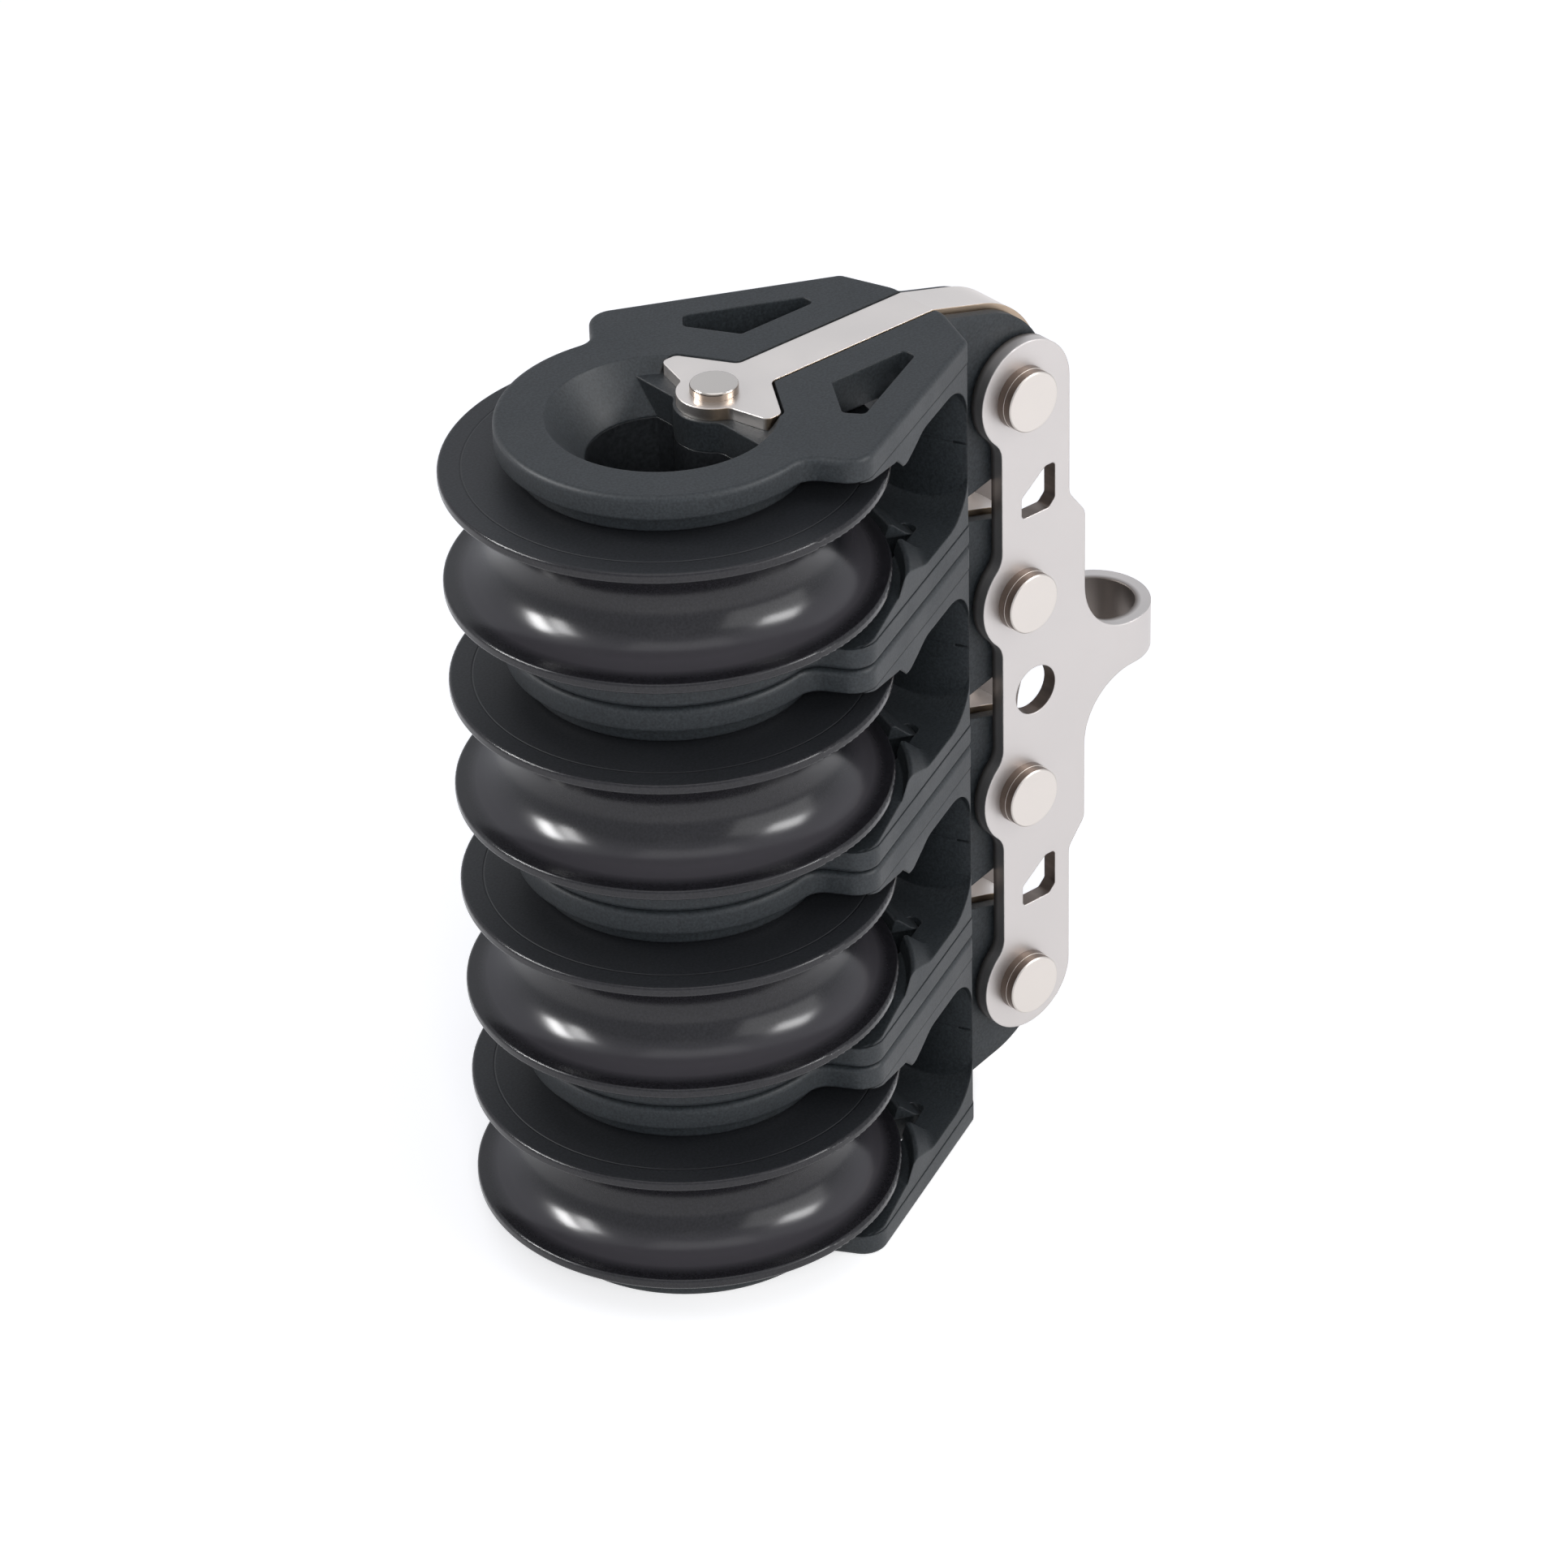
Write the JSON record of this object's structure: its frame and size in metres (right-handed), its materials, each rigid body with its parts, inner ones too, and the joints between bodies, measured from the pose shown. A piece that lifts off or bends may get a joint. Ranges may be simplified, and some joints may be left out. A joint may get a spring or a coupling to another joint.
{
  "type": "quad block",
  "caption": "Quad block for sailing lines: stacked ball-bearing blocks with straps, pinned between folded stainless head plates with an eye.",
  "frame": {"origin": "centre of the round hole through the head plates, midway between the plates and between the middle blocks", "axes": "+Z along the stack of blocks, +Y along the clevis pins, +X from the sheaves towards the eye"},
  "size_m": [0.0774, 0.04, 0.0863],
  "materials": {
    "shell_plastic": "fine-grained matte black moulding",
    "hub_plastic": "smooth satin black moulding",
    "sheave_plastic": "polished black moulding",
    "ball_plastic": "smooth off-white bearing plastic",
    "strap_steel": "tumbled stainless steel",
    "plate_steel": "satin stainless steel",
    "pin_steel": "turned stainless steel",
    "rivet_steel": "bright stainless steel"
  },
  "bodies": {
    "head": {"head_plates": "plate_steel", "clevis_pin_1": "pin_steel", "clevis_pin_2": "pin_steel", "clevis_pin_3": "pin_steel", "clevis_pin_4": "pin_steel", "pin_washers_1": "pin_steel", "pin_washers_2": "pin_steel", "pin_washers_3": "pin_steel", "pin_washers_4": "pin_steel"},
    "block_1": {"upper_shell_1": "shell_plastic", "lower_shell_1": "shell_plastic", "hub_1": "hub_plastic", "strap_1": "strap_steel", "hub_rivet_1": "rivet_steel"},
    "wheel_1": {"sheave_1": "sheave_plastic"},
    "ball_ring_1": {"bearing_balls_1": "ball_plastic"},
    "block_2": {"upper_shell_2": "shell_plastic", "lower_shell_2": "shell_plastic", "hub_2": "hub_plastic", "strap_2": "strap_steel", "hub_rivet_2": "rivet_steel"},
    "wheel_2": {"sheave_2": "sheave_plastic"},
    "ball_ring_2": {"bearing_balls_2": "ball_plastic"},
    "block_3": {"upper_shell_3": "shell_plastic", "lower_shell_3": "shell_plastic", "hub_3": "hub_plastic", "strap_3": "strap_steel", "hub_rivet_3": "rivet_steel"},
    "wheel_3": {"sheave_3": "sheave_plastic"},
    "ball_ring_3": {"bearing_balls_3": "ball_plastic"},
    "block_4": {"upper_shell_4": "shell_plastic", "lower_shell_4": "shell_plastic", "hub_4": "hub_plastic", "strap_4": "strap_steel", "hub_rivet_4": "rivet_steel"},
    "wheel_4": {"sheave_4": "sheave_plastic"},
    "ball_ring_4": {"bearing_balls_4": "ball_plastic"}
  },
  "joints": [
    {"name": "block_1_swing", "type": "hinge", "parent": "head", "child": "block_1", "pos_m": [-0.0016, 0, 0.0321], "axis": [0, 1, 0], "range_deg": [0, 90]},
    {"name": "sheave_1_spin", "type": "hinge", "parent": "block_1", "child": "wheel_1", "pos_m": [-0.0394, 0, 0.0321], "axis": [0, 0, 1], "continuous": true},
    {"name": "ball_ring_1_roll", "type": "hinge", "parent": "block_1", "child": "ball_ring_1", "pos_m": [-0.0394, 0, 0.0321], "axis": [0, 0, 1], "continuous": true},
    {"name": "block_2_swing", "type": "hinge", "parent": "head", "child": "block_2", "pos_m": [-0.0016, 0, 0.0107], "axis": [0, 1, 0], "range_deg": [0, 22.5]},
    {"name": "sheave_2_spin", "type": "hinge", "parent": "block_2", "child": "wheel_2", "pos_m": [-0.0394, 0, 0.0107], "axis": [0, 0, 1], "continuous": true},
    {"name": "ball_ring_2_roll", "type": "hinge", "parent": "block_2", "child": "ball_ring_2", "pos_m": [-0.0394, 0, 0.0107], "axis": [0, 0, 1], "continuous": true},
    {"name": "block_3_swing", "type": "hinge", "parent": "head", "child": "block_3", "pos_m": [-0.0016, 0, -0.0107], "axis": [0, -1, 0], "range_deg": [0, 22.5]},
    {"name": "sheave_3_spin", "type": "hinge", "parent": "block_3", "child": "wheel_3", "pos_m": [-0.0394, 0, -0.0107], "axis": [0, 0, 1], "continuous": true},
    {"name": "ball_ring_3_roll", "type": "hinge", "parent": "block_3", "child": "ball_ring_3", "pos_m": [-0.0394, 0, -0.0107], "axis": [0, 0, 1], "continuous": true},
    {"name": "block_4_swing", "type": "hinge", "parent": "head", "child": "block_4", "pos_m": [-0.0016, 0, -0.0321], "axis": [0, -1, 0], "range_deg": [0, 90]},
    {"name": "sheave_4_spin", "type": "hinge", "parent": "block_4", "child": "wheel_4", "pos_m": [-0.0394, 0, -0.0321], "axis": [0, 0, 1], "continuous": true},
    {"name": "ball_ring_4_roll", "type": "hinge", "parent": "block_4", "child": "ball_ring_4", "pos_m": [-0.0394, 0, -0.0321], "axis": [0, 0, 1], "continuous": true}
  ],
  "couplings": [
    {"joint": "ball_ring_1_roll", "follows": "sheave_1_spin", "ratio": 0.567},
    {"joint": "ball_ring_2_roll", "follows": "sheave_2_spin", "ratio": 0.567},
    {"joint": "ball_ring_3_roll", "follows": "sheave_3_spin", "ratio": 0.567},
    {"joint": "ball_ring_4_roll", "follows": "sheave_4_spin", "ratio": 0.567},
    {"joint": "block_2_swing", "follows": "block_1_swing", "ratio": 0.25},
    {"joint": "block_3_swing", "follows": "block_4_swing", "ratio": 0.25}
  ]
}
